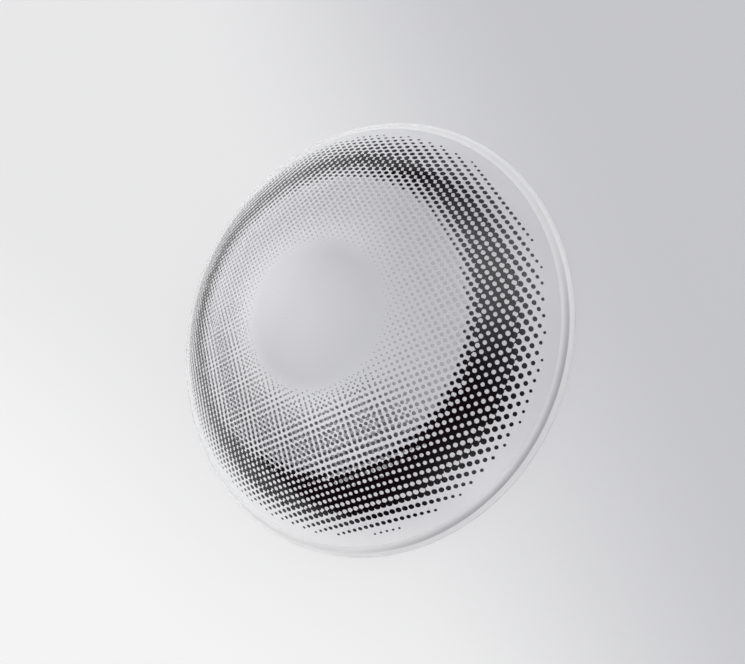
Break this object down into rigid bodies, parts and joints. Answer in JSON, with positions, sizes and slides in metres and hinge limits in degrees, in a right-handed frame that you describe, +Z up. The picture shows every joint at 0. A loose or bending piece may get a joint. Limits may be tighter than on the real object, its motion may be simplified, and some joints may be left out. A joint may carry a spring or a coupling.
{
  "type": "colored contact lens",
  "caption": "Soft tinted contact lens: thin clear hydrogel dome with a dark halftone limbal ring, a paler iris ring, a clear pupil and a bevelled rim, lying rim down.",
  "frame": {"origin": "Centre of the rim's resting plane, on the optical axis.", "axes": "+Z up along the optical axis, from the resting rim to the apex of the domed front. The lens is round about Z, so X and Y are free."},
  "size_m": [0.0142, 0.0142, 0.0037],
  "materials": {
    "hydrogel": "clear, wet gloss",
    "dark_ink": "near-black plum ink, satin",
    "grey_ink": "lavender grey ink, satin"
  },
  "bodies": {
    "root": {"lens": "hydrogel", "limbal_ring_print": "dark_ink", "iris_print": "grey_ink"}
  },
  "joints": []
}
